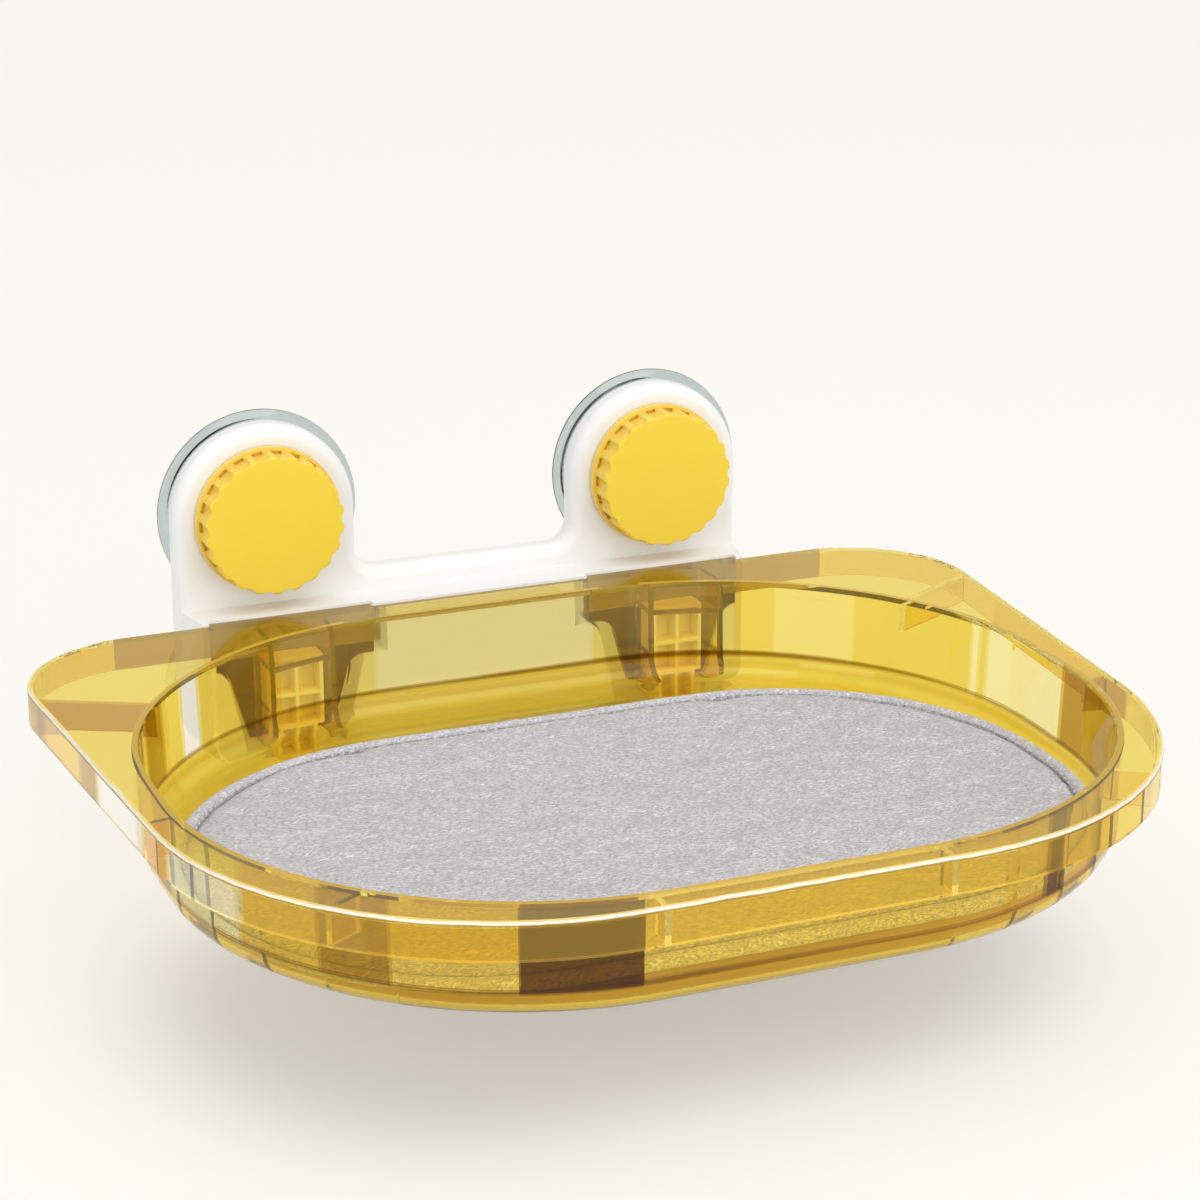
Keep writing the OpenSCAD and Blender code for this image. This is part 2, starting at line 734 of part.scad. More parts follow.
// Outline of the mat in x and y, drawn in by an inset
module mat_outline(inset) {
    r = mat_corner - inset;
    cx = mat_w / 2 - mat_corner;
    back = -mat_back - mat_corner;
    front = -mat_back - mat_d + mat_corner;
    for (x = [-cx, cx]) for (y = [back, front]) translate([x, y]) circle(r = r);
    translate([-cx, front - r]) square([2 * cx, back - front + 2 * r]);
    translate([-cx - r, front]) square([2 * (cx + r), back - front]);
}

module piping_solid() {
    r = mat_corner - piping_r;
    cx = mat_w / 2 - mat_corner;
    back = -mat_back - mat_corner;
    front = -mat_back - mat_d + mat_corner;
    translate([0, 0, piping_z]) {
        for (k = [[cx, back, 0], [-cx, back, 90], [-cx, front, 180], [cx, front, 270]])
            translate([k[0], k[1], 0]) rotate([0, 0, k[2]])
                rotate_extrude(angle = 90) translate([r, 0]) circle(r = piping_r, $fn = 32);
        for (y = [back + r, front - r]) translate([-cx, y, 0]) rotate([0, 90, 0])
            cylinder(r = piping_r, h = 2 * cx, $fn = 32);
        for (x = [-cx - r, cx + r]) translate([x, back, 0]) rotate([90, 0, 0])
            cylinder(r = piping_r, h = back - front, $fn = 32);
    }
}

module mat_base() {
    color(rubber_grey) translate([0, 0, mat_floor_z]) linear_extrude(base_t) mat_outline(2 * piping_r);
}

module mat_pad() {
    color(felt_grey) difference() {
        translate([0, 0, mat_floor_z + base_t]) linear_extrude(mat_t) mat_outline(piping_r);
        piping_solid();
    }
}

module mat_piping() {
    color(felt_grey) piping_solid();
}

// Left pieces are the right ones mirrored about the middle
module left() {
    mirror([1, 0, 0]) children();
}

tray();
wall_bracket();
left() suction_cup();  // suction_cup_left
suction_cup();  // suction_cup_right
left() cup_stud();  // cup_stud_left
cup_stud();  // cup_stud_right
left() thrust_washer();  // thrust_washer_left
thrust_washer();  // thrust_washer_right
left() knob_body();  // knob_body_left
knob_body();  // knob_body_right
left() knob_nut();  // knob_nut_left
knob_nut();  // knob_nut_right
left() knob_cap();  // knob_cap_left
knob_cap();  // knob_cap_right
left() hanger_block();  // hanger_block_left
hanger_block();  // hanger_block_right
block_screws();
rest_pads();
mat_base();
mat_pad();
mat_piping();
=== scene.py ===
import math
import bpy
from mathutils import Matrix, Vector, noise


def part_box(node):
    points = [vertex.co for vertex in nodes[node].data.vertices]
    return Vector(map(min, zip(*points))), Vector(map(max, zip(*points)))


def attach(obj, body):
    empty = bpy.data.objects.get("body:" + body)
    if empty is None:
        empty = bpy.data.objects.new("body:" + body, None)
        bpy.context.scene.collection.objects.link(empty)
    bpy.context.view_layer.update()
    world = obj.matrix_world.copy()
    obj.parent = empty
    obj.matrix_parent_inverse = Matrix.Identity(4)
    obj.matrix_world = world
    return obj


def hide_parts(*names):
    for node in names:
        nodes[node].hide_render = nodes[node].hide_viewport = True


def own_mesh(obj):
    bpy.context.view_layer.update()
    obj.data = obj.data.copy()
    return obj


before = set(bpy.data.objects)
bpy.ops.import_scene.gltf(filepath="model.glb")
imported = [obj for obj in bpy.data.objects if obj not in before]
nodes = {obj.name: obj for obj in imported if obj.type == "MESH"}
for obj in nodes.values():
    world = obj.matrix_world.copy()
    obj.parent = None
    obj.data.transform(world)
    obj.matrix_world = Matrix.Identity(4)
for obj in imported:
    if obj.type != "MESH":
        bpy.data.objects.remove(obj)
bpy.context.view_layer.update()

# The studio: a pale floor below the perch, an even pale sky, one broad lamp high
# on the right and a soft box on the left, which the clear plastic mirrors.
scene = bpy.context.scene
scene.view_settings.view_transform = "Standard"


def shade_node(tree, kind, sockets=None, **settings):
    """Adds a shader node, makes its settings, and sets or links its sockets."""
    made = tree.nodes.new("ShaderNode" + kind)
    for key, value in settings.items():
        setattr(made, key, value)
    for key, value in (sockets or {}).items():
        if isinstance(value, bpy.types.NodeSocket):
            tree.links.new(value, made.inputs[key])
        else:
            made.inputs[key].default_value = value
    return made


def calc(tree, operation, *terms):
    """One step of arithmetic on links and plain values."""
    return shade_node(tree, "Math", dict(enumerate(terms)), operation=operation).outputs[0]


def spread(tree, value, low, high, start=0.0, end=1.0):
    """Maps the values from start to end onto those from low to high."""
    sockets = {"Value": value, "From Min": start, "From Max": end, "To Min": low, "To Max": high}
    return shade_node(tree, "MapRange", sockets).outputs["Result"]


def cloudy(tree, where, scale, detail, roughness=0.5):
    """The value of a noise texture."""
    sockets = {"Vector": where, "Scale": scale, "Detail": detail, "Roughness": roughness}
    return shade_node(tree, "TexNoise", sockets).outputs["Fac"]


def mixed(tree, factor, first, second, blend="MIX"):
    """A blend of two colours."""
    sockets = {"Factor": factor, "A": first, "B": second}
    made = shade_node(tree, "Mix", sockets, data_type="RGBA", blend_type=blend)
    return made.outputs["Result"]


def wire(tree, node, **links):
    """Links values to the named inputs of a node."""
    for key, socket in links.items():
        tree.links.new(socket, node.inputs[key.replace("_", " ")])


def new_finish(name, **sockets):
    """A material with a Principled shader, and the plain values of its sockets."""
    finish = bpy.data.materials.new(name)
    finish.use_nodes = True
    tree = finish.node_tree
    shader = tree.nodes["Principled BSDF"]
    for key, value in sockets.items():
        shader.inputs[key.replace("_", " ")].default_value = value
    return finish, tree, shader


def soft_box(name, spot, aim, size, power):
    """A rectangular lamp that faces its aim."""
    bpy.ops.object.light_add(type="AREA", location=spot)
    lamp = bpy.context.object
    lamp.name = name
    lamp.data.shape = "RECTANGLE"
    lamp.data.size, lamp.data.size_y = size
    lamp.data.energy = power
    lamp.rotation_mode = "QUATERNION"
    lamp.rotation_quaternion = (Vector(aim) - Vector(spot)).to_track_quat("-Z", "Y")
    return lamp


floor_z = -0.150
bpy.ops.object.select_all(action="DESELECT")
bpy.ops.mesh.primitive_plane_add(size=24, location=(0, 0, floor_z))
floor = bpy.context.object
floor.name = "studio_floor"
floor_paint, tree, shader = new_finish("studio_floor_paint", Roughness=0.9,
                                       Specular_IOR_Level=0.05)
place = shade_node(tree, "TexCoord")
cloud = cloudy(tree, place.outputs["Object"], 0.7, 1.0)
wire(tree, shader, Base_Color=mixed(tree, cloud, (0.93, 0.970, 0.995, 1), (0.94, 0.980, 1.0, 1)))
# A share of the floor's light is its own, so that it stays even out to the horizon
glow_share = 0.44
glow = shade_node(tree, "Emission", {"Color": (1.0, 0.915, 0.80, 1), "Strength": 1.0})
rays = shade_node(tree, "LightPath")
seen = calc(tree, "MAXIMUM", rays.outputs["Is Glossy Ray"], rays.outputs["Is Transmission Ray"])
seen = calc(tree, "MAXIMUM", seen, rays.outputs["Is Camera Ray"])
lift = calc(tree, "MULTIPLY", seen, glow_share)
lit = shade_node(tree, "MixShader", {0: lift, 1: shader.outputs[0], 2: glow.outputs[0]})
wire(tree, tree.nodes["Material Output"], Surface=lit.outputs[0])
floor.data.materials.append(floor_paint)

# The sky is brightest where it is seen, and a little brighter in mirrors than as light
sky_light, sky_mirrored, sky_seen = 0.60, 0.74, 0.98
sky = bpy.data.worlds.new("studio_sky")
scene.world = sky
sky.use_nodes = True
tree = sky.node_tree
back = tree.nodes["Background"]
back.inputs["Color"].default_value = (1.0, 0.985, 0.96, 1)
rays = shade_node(tree, "LightPath")
level = spread(tree, rays.outputs["Is Glossy Ray"], sky_light, sky_mirrored)
seen = calc(tree, "MAXIMUM", rays.outputs["Is Camera Ray"], rays.outputs["Is Transmission Ray"])
level = shade_node(tree, "Mix", {"Factor": seen, "A": level, "B": sky_seen})
wire(tree, back, Strength=level.outputs["Result"])

bpy.ops.object.light_add(type="SUN", location=(0.5, -0.5, 1.5))
key_lamp = bpy.context.object
key_lamp.name = "broad_key"
key_lamp.data.energy = 1.24
key_lamp.data.angle = math.radians(52)
key_lamp.data.color = (1.0, 0.985, 0.965)
key_lamp.rotation_mode = "QUATERNION"
key_lamp.rotation_quaternion = Vector((-0.12, 0.38, -1.0)).to_track_quat("-Z", "Y")
soft_box("soft_box_left", (-1.4, -0.9, 0.5), (0, -0.2, -0.05), (0.4, 1.0), 3)
soft_box("soft_box_front", (0.5, -2.4, 0.9), (0, 0, 0), (2.2, 1.4), 13)

bpy.ops.object.camera_add(location=(-0.433, -1.231, 0.390))
camera = bpy.context.object
camera.rotation_euler = (math.radians(90 - 18.84), 0, math.radians(-22.26))
camera.data.lens = 90.6
camera.data.sensor_width = 36
scene.camera = camera

# The bracket: one white moulding with two round ears, a crossbar and a deep lower
# box. It comes from the mould in a fine satin skin with its corners eased.
weld_gap = 0.00001
smooth_angle = math.radians(32)


def merged_copy(name, node, *finishes):
    """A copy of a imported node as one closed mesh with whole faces."""
    bpy.ops.object.select_all(action="DESELECT")
    mesh = nodes[node].data.copy()
    mesh.name = name
    piece = bpy.data.objects.new(name, mesh)
    scene.collection.objects.link(piece)
    mesh.materials.clear()
    for finish in finishes:
        mesh.materials.append(finish)
    piece.select_set(True)
    bpy.context.view_layer.objects.active = piece
    bpy.ops.object.mode_set(mode="EDIT")
    bpy.ops.mesh.select_all(action="SELECT")
    bpy.ops.mesh.remove_doubles(threshold=weld_gap)
    bpy.ops.mesh.dissolve_limited(angle_limit=math.radians(1.0), delimit={"NORMAL"})
    bpy.ops.mesh.vert_connect_concave()
    bpy.ops.object.mode_set(mode="OBJECT")
    return piece


def ease_edges(piece, width, segments=2, edge_slot=-1):
    """Rounds the sharp edges a little and keeps the flat faces flat."""
    ease = piece.modifiers.new("eased_edges", "BEVEL")
    ease.width = width
    ease.segments = segments
    ease.limit_method = "ANGLE"
    ease.angle_limit = math.radians(40)
    ease.miter_outer = "MITER_ARC"
    ease.material = edge_slot
    bpy.ops.object.modifier_apply(modifier=ease.name)
    bpy.ops.object.shade_smooth_by_angle(angle=smooth_angle)
    level_faces = piece.modifiers.new("level_faces", "WEIGHTED_NORMAL")
    level_faces.keep_sharp = True
    bpy.ops.object.modifier_apply(modifier=level_faces.name)
    return piece


def fit_piece(piece, finish, slot, body, *stands_for):
    """Gives a piece its finish and its place in the assembly."""
    if finish:
        piece.data.materials.clear()
        piece.data.materials.append(finish)
    if stands_for:
        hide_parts(*stands_for)
    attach(piece, body)


def node_group(name, inputs, outputs):
    """A shader node group with its sockets, its input node and its output node."""
    group = bpy.data.node_groups.new(name, "ShaderNodeTree")
    for label, kind, start in inputs:
        socket = group.interface.new_socket(name=label, in_out="INPUT",
                                            socket_type="NodeSocket" + kind)
        socket.default_value = start
    for label, kind in outputs:
        group.interface.new_socket(name=label, in_out="OUTPUT", socket_type="NodeSocket" + kind)
    return group, group.nodes.new("NodeGroupInput"), group.nodes.new("NodeGroupOutput")


def relief(tree, height, strength, distance, **sockets):
    """The normal of a surface that a height raises."""
    sockets.update(Height=height, Strength=strength, Distance=distance)
    return shade_node(tree, "Bump", sockets).outputs["Normal"]


# The skin that a mould leaves on plastic: a faint cloudiness and a fine grain
plastic_skin, given, result = node_group(
    "plastic_skin",
    (("Colour", "Color", (0.8, 0.8, 0.8, 1)), ("Mottle", "Float", 0.3), ("Roughness", "Float", 0.4),
     ("Grain", "Float", 1.0)),
    (("Colour", "Color"), ("Roughness", "Float"), ("Height", "Float")))
place = shade_node(plastic_skin, "TexCoord")
cloud = cloudy(plastic_skin, place.outputs["Object"], 70.0, 4.0, 0.6)
speck = cloudy(plastic_skin, place.outputs["Object"], 1900.0, 2.0)
dull = calc(plastic_skin, "MULTIPLY", cloud, given.outputs["Mottle"])
deeper = mixed(plastic_skin, 1.0, given.outputs["Colour"], (0.80, 0.78, 0.72, 1), "MULTIPLY")
uneven = spread(plastic_skin, cloud, -0.06, 0.08)
wire(plastic_skin, result,
     Colour=mixed(plastic_skin, dull, given.outputs["Colour"], deeper),
     Roughness=calc(plastic_skin, "ADD", given.outputs["Roughness"], uneven),
     Height=calc(plastic_skin, "MULTIPLY", speck, given.outputs["Grain"]))


def moulded_plastic(name, colour, mottle, roughness, grain, **sockets):
    """A solid moulded plastic with the skin that its mould leaves."""
    finish, tree, shader = new_finish(name, **sockets)
    skin = shade_node(tree, "Group", {"Colour": colour, "Mottle": mottle, "Roughness": roughness,
                                      "Grain": grain}, node_tree=plastic_skin)
    wire(tree, shader, Base_Color=skin.outputs["Colour"], Roughness=skin.outputs["Roughness"],
         Normal=relief(tree, skin.outputs["Height"], 0.25, 0.00008))
    return finish


satin_white = moulded_plastic("satin_white_plastic", (0.885, 0.885, 0.885, 1), 0.08, 0.36, 1.0,
                              IOR=1.5)
bracket = ease_edges(merged_copy("bracket_shell", "wall_bracket"), 0.0007)
fit_piece(bracket, satin_white, "white_shell", "wall_mount", "wall_bracket")

# Two soft clear buttons pushed into the bottom of the bracket. They bear on the
# window and have three shallow grip rings moulded in their faces.
rest_x, rest_z = 0.030, -0.090


def turned_form(name, x, z, profile, sides):
    """A round form drawn out ring by ring along an axis square to the window."""
    bpy.ops.object.select_all(action="DESELECT")
    radius, stand_off = profile[0]
    bpy.ops.mesh.primitive_circle_add(vertices=sides, radius=radius, location=(x, -stand_off, z),
                                      rotation=(math.radians(90), 0, 0))
    piece = bpy.context.object
    piece.name = name
    bpy.ops.object.mode_set(mode="EDIT")
    bpy.ops.mesh.select_all(action="SELECT")
    for before, after in zip(profile, profile[1:]):
        step = (0, before[1] - after[1], 0)
        bpy.ops.mesh.extrude_region_move(TRANSFORM_OT_translate={"value": step})
        grow = after[0] / before[0]
        bpy.ops.transform.resize(value=(grow, 1, grow), center_override=(x, 0, z))
    bpy.ops.mesh.select_all(action="SELECT")
    bpy.ops.mesh.fill_holes(sides=0)
    bpy.ops.mesh.normals_make_consistent(inside=False)
    bpy.ops.object.mode_set(mode="OBJECT")
    bpy.ops.object.transform_apply(location=True, rotation=True, scale=True)
    bpy.ops.object.shade_smooth_by_angle(angle=math.radians(50))
    return piece


def millimetres(points):
    return [tuple(value / 1000 for value in point) for point in points]


def mirrored(piece, name):
    """The same piece on the other side of the middle, with its own mesh."""
    bpy.ops.object.select_all(action="DESELECT")
    other = piece.copy()
    other.data = piece.data.copy()
    other.name = name
    other.data.name = name
    scene.collection.objects.link(other)
    other.select_set(True)
    bpy.context.view_layer.objects.active = other
    other.scale = (-1, 1, 1)
    bpy.ops.object.transform_apply(location=True, rotation=True, scale=True)
    bpy.ops.object.mode_set(mode="EDIT")
    bpy.ops.mesh.select_all(action="SELECT")
    bpy.ops.mesh.normals_make_consistent(inside=False)
    bpy.ops.object.mode_set(mode="OBJECT")
    return other


def let_light_through(tree, shader, tint):
    """Light on its way to other things passes the clear plastic with only a tint."""
    through = shade_node(tree, "BsdfTransparent", {"Color": tint})
    rays = shade_node(tree, "LightPath")
    either = calc(tree, "MAXIMUM", rays.outputs["Is Shadow Ray"], rays.outputs["Is Diffuse Ray"])
    pick = shade_node(tree, "MixShader", {0: either, 1: shader.outputs[0], 2: through.outputs[0]})
    wire(tree, tree.nodes["Material Output"], Surface=pick.outputs[0])


clear_soft, tree, shader = new_finish("clear_soft_plastic", Roughness=0.08, IOR=1.42,
                                      Transmission_Weight=1.0)
place = shade_node(tree, "TexCoord")
haze = cloudy(tree, place.outputs["Object"], 90.0, 3.0)
wire(tree, shader,
     Base_Color=mixed(tree, haze, (0.50, 0.57, 0.58, 1), (0.62, 0.68, 0.68, 1)),
     Normal=relief(tree, haze, 0.15, 0.0004))
let_light_through(tree, shader, (0.93, 0.95, 0.95, 1))

# Radius and distance from the window, ring by ring
pad_profile = millimetres([
    (0.8, 0.0), (2.2, 0.0), (2.5, 0.35), (3.0, 0.35), (3.3, 0.0), (4.7, 0.0), (5.0, 0.35),
    (5.5, 0.35), (5.8, 0.0), (7.2, 0.0), (7.9, 0.15), (8.4, 0.55), (8.6, 1.2), (8.6, 4.3),
    (8.3, 4.9), (7.8, 5.0), (5.4, 5.0), (4.9, 5.3), (4.9, 7.4), (4.5, 7.9), (0.8, 7.9)])
rest_pad = turned_form("rest_pad_right", rest_x, rest_z, pad_profile, 48)
fit_piece(rest_pad, clear_soft, "clear_soft", "wall_mount", "rest_pads")
rest_pad_left = mirrored(rest_pad, "rest_pad_left")
fit_piece(rest_pad_left, clear_soft, "clear_soft", "wall_mount", "rest_pads")

# The suction cups: clear soft plastic, moulded round the flange of the post, with
# a thin lip, two sealing grooves on the window side and a hollow in the middle.
cup_x = 0.092
cup_profile = millimetres([
    (0.8, 2.2), (8.0, 2.2), (14.5, 2.05), (19.0, 1.35), (24.0, 0.5), (28.0, 0.08), (30.0, 0.0),
    (33.6, 0.0), (34.0, 0.3), (34.9, 0.3), (35.3, 0.0), (39.4, 0.0), (39.8, 0.3), (40.7, 0.3),
    (41.1, 0.0), (44.3, 0.0), (44.8, 0.2), (45.0, 0.75), (44.8, 1.3), (44.3, 1.6), (43.3, 2.4),
    (42.2, 3.9), (41.7, 4.7), (41.2, 4.9), (37.8, 4.9), (36.6, 4.95), (30.0, 5.4), (23.0, 6.2),
    (16.5, 7.1), (14.8, 7.5), (14.1, 8.4), (13.5, 9.3), (12.9, 9.6), (5.9, 9.6), (5.4, 9.3),
    (5.3, 7.3), (11.3, 7.3), (11.3, 4.7), (0.8, 4.7)])
for side, place_x in (("left", -cup_x), ("right", cup_x)):
    cup = turned_form("suction_disc_" + side, place_x, 0, cup_profile, 96)
    fit_piece(cup, clear_soft, "clear_soft", "wall_mount", "suction_cup_" + side)
    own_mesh(cup)

# The posts are zinc plated steel with a rolled thread, and the washers that the
# knobs turn on are a slippery white plastic.
thread_pitch = 0.0015


def refinish(node, finish):
    """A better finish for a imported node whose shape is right."""
    for slot in nodes[node].material_slots:
        slot.material = finish


def vector_calc(tree, operation, *terms):
    """One step of vector arithmetic, which gives a plain value for lengths and dots."""
    made = shade_node(tree, "VectorMath", dict(enumerate(terms)), operation=operation)
    return made.outputs["Value" if operation in ("LENGTH", "DOT_PRODUCT") else "Vector"]


def stained(tree, place, scale, dark, light):
    """A stain over an object, and the tone between two colours that it gives."""
    stain = cloudy(tree, place.outputs["Object"], scale, 4.0)
    return stain, mixed(tree, stain, dark, light)


def turned_metal(name, dark, light, lines, roughness):
    """Machined metal: a screw thread on its sides and fine lathe rings on its ends."""
    finish, tree, shader = new_finish(name, Metallic=1.0)
    place = shade_node(tree, "TexCoord")
    parts = shade_node(tree, "SeparateXYZ", {0: place.outputs["Object"]})
    # Radius from the nearer cup's axis, and the angle round it
    across = calc(tree, "SUBTRACT", calc(tree, "ABSOLUTE", parts.outputs["X"]), cup_x)
    flat = shade_node(tree, "CombineXYZ", {"X": across, "Y": parts.outputs["Z"]})
    radius = vector_calc(tree, "LENGTH", flat.outputs[0])
    angle = calc(tree, "ARCTAN2", parts.outputs["Z"], across)
    along = calc(tree, "MULTIPLY", parts.outputs["Y"], 1 / thread_pitch)
    turns = calc(tree, "MULTIPLY_ADD", angle, 1 / (2 * math.pi), along)
    thread = calc(tree, "PINGPONG", turns, 1.0)
    ridge = calc(tree, "PINGPONG", calc(tree, "MULTIPLY", radius, lines), 1.0)
    height = calc(tree, "MULTIPLY_ADD", ridge, 0.05, thread)
    stain, tone = stained(tree, place, 260.0, dark, light)
    wire(tree, shader, Base_Color=tone,
         Roughness=spread(tree, stain, roughness - 0.08, roughness + 0.12),
         Normal=relief(tree, height, 0.6, 0.0004))
    return finish


zinc_plate = turned_metal("zinc_plated_steel", (0.50, 0.51, 0.52, 1), (0.66, 0.67, 0.68, 1),
                          4000, 0.34)
slip_white = moulded_plastic("washer_plastic", (0.86, 0.86, 0.85, 1), 0.25, 0.28, 0.6, IOR=1.48)
for side in ("left", "right"):
    refinish("cup_stud_" + side, zinc_plate)
    refinish("thrust_washer_" + side, slip_white)

# The knobs: a fluted shell with a smooth rear ring, a brass insert that takes the
# post, and a flat scalloped plate glued into the front. All in one warm yellow.
small_ease = 0.00035
turned_brass = turned_metal("turned_brass", (0.62, 0.42, 0.16, 1), (0.80, 0.58, 0.26, 1),
                            3500, 0.26)
knob_yellow = moulded_plastic("knob_yellow_plastic", (0.97, 0.69, 0.045, 1), 0.25, 0.40, 1.2,
                              IOR=1.5)
shell_yellow = moulded_plastic("knob_shell_plastic", (0.93, 0.66, 0.10, 1), 0.3, 0.28, 0.6,
                               IOR=1.5)
for side in ("left", "right"):
    refinish("knob_nut_" + side, turned_brass)
    shell = ease_edges(merged_copy("knob_shell_" + side, "knob_body_" + side), small_ease)
    fit_piece(shell, shell_yellow, "knob_yellow", "knob_" + side, "knob_body_" + side)
    plate = ease_edges(merged_copy("knob_plate_" + side, "knob_cap_" + side), small_ease)
    fit_piece(plate, knob_yellow, "knob_yellow", "knob_" + side, "knob_cap_" + side)

# The tongues that the tray's pockets drop over: ribbed satin yellow mouldings,
# each held to the bracket's recess by two plated screws from behind.
tongue_yellow = moulded_plastic("tongue_yellow_plastic", (1.0, 0.84, 0.27, 1), 0.05, 0.42, 1.0,
                                IOR=1.5)
for side in ("left", "right"):
    tongue = ease_edges(merged_copy("ribbed_tongue_" + side, "hanger_block_" + side), small_ease)
    fit_piece(tongue, tongue_yellow, "tongue_yellow", "wall_mount", "hanger_block_" + side)
screw_plate, tree, shader = new_finish("screw_plating", Metallic=1.0)
place = shade_node(tree, "TexCoord")
stain, tone = stained(tree, place, 420.0, (0.48, 0.49, 0.50, 1), (0.68, 0.69, 0.70, 1))
wire(tree, shader, Base_Color=tone, Roughness=spread(tree, stain, 0.22, 0.45))
refinish("block_screws", screw_plate)

# The tray: one clear yellow moulding with a flange, a skirt, ribs, an oval bowl and
# two hangers. The mould's walls are cut in narrow flats where the plan turns.
bowl_mid_y = -0.2045
mouth_flat_x, mouth_flat_y, mouth_r = 0.049, 0.0125, 0.142
rim_z = -0.040
rib_low, rib_high = -0.0605, -0.0422
lip_reach, skirt_from = 0.0035, 0.0045
hangers_from_y = -0.0348
rim_back_y = -0.036
mouth_cut_y, mouth_cut_x = -0.0525, 0.040
bowl_middle = (0.0, -bowl_mid_y, 0.0)

facets, given, result = node_group(
    "mould_flats",
    (("Outside Step", "Float", 0.0), ("Inside Step", "Float", 0.0), ("Tilt", "Float", 0.0)),
    (("Normal", "Vector"),))
place = shade_node(facets, "TexCoord")
turn = shade_node(facets, "SeparateXYZ", {0: place.outputs["Normal"]})
spot = vector_calc(facets, "ADD", place.outputs["Object"], bowl_middle)
outward = vector_calc(facets, "DOT_PRODUCT", spot, place.outputs["Normal"])
faces_out = calc(facets, "GREATER_THAN", outward, 0.0)
step = shade_node(facets, "Mix", {"Factor": faces_out, "A": given.outputs["Inside Step"],
                                  "B": given.outputs["Outside Step"]}).outputs["Result"]
angle = calc(facets, "ARCTAN2", turn.outputs["Y"], turn.outputs["X"])
whole = calc(facets, "ROUND", calc(facets, "DIVIDE", angle, step))
stepped = calc(facets, "MULTIPLY", whole, step)
flat = shade_node(facets, "CombineXYZ", {"X": turn.outputs["X"], "Y": turn.outputs["Y"]})
reach = vector_calc(facets, "LENGTH", flat.outputs[0])
chance = shade_node(facets, "TexWhiteNoise", {"W": whole}, noise_dimensions="1D")
lean = spread(facets, chance.outputs["Value"], -1.0, 1.0)
lean = calc(facets, "MULTIPLY", calc(facets, "MULTIPLY", lean, given.outputs["Tilt"]), reach)
made = shade_node(facets, "CombineXYZ", {
    "X": calc(facets, "MULTIPLY", calc(facets, "COSINE", stepped), reach),
    "Y": calc(facets, "MULTIPLY", calc(facets, "SINE", stepped), reach),
    "Z": calc(facets, "ADD", turn.outputs["Z"], lean)})
unit = vector_calc(facets, "NORMALIZE", made.outputs[0])
world = shade_node(facets, "VectorTransform", {0: unit}, vector_type="NORMAL",
                   convert_from="OBJECT", convert_to="WORLD")
wire(facets, result, Normal=world.outputs[0])

# The tones the walls show over the plastic's yellow, from nearly clear to brown: painted light and
# shade, the clear tone a painted reflection and the deep ones painted shade
wall_tones_and_painted_light = {"clear": (1.0, 0.985, 0.93, 1), "pale": (0.99, 0.88, 0.38, 1),
         "light": (0.96, 0.79, 0.20, 1), "gold": (0.92, 0.70, 0.10, 1),
         "orange": (0.96, 0.63, 0.03, 1), "mustard": (0.93, 0.68, 0.11, 1),
         "honey": (0.88, 0.60, 0.05, 1), "amber": (0.55, 0.32, 0.01, 1),
         "deep": (0.22, 0.10, 0.001, 1), "brown": (0.19, 0.08, 0.001, 1)}

# Where each painted tone begins, in degrees round the bowl's middle from the tray's right side
bowl_painted_blocks = (
    (-180, "amber"), (-175, "pale"), (-159, "honey"), (-148.5, "amber"), (-139.8, "mustard"),
    (-125.3, "brown"), (-112.3, "mustard"), (-61.6, "honey"), (-53.7, "brown"), (-51.3, "honey"),
    (-44.6, "amber"), (-41.4, "mustard"), (-31.4, "pale"), (-22, "amber"), (-3.2, "pale"),
    (12.8, "gold"), (14.8, "pale"), (16.6, "gold"), (35.1, "light"), (46.1, "gold"),
    (51.3, "light"), (55.5, "pale"), (66.5, "light"), (72, "pale"), (109, "light"),
    (115.5, "pale"), (125, "gold"), (139.6, "clear"), (144.6, "gold"), (150, "amber"),
    (157, "gold"))
skirt_painted_blocks = (
    (-180, "clear"), (-173.2, "orange"), (-166.5, "clear"), (-154.6, "light"), (-140, "gold"),
    (-125.3, "gold"), (-112.3, "light"), (-61.6, "gold"), (-40, "light"), (-28, "pale"),
    (-14, "amber"), (-8, "gold"), (20, "light"), (48, "gold"), (52, "light"), (128, "gold"),
    (150, "amber"), (154, "orange"), (165, "amber"), (171.5, "clear"))
# The hangers are painted amber and deep brown: painted shade of the bracket's recess behind them
hanger_painted_blocks = ((-180, "amber"), (0, "deep"))

# The bands near the bowl's foot, where its floor shows through the wall: painted light and shade,
# darker towards the foot with a painted dark line
foot_low, foot_high = -0.0860, -0.0720
foot_painted_bands = (
    (0.35, (0.95, 0.88, 0.55, 1)), (0.55, (0.84, 0.70, 0.30, 1)), (0.75, (0.98, 0.92, 0.65, 1)),
    (0.85, (0.34, 0.20, 0.03, 1)), (0.89, (0.36, 0.22, 0.04, 1)), (0.93, (1, 1, 1, 1)))


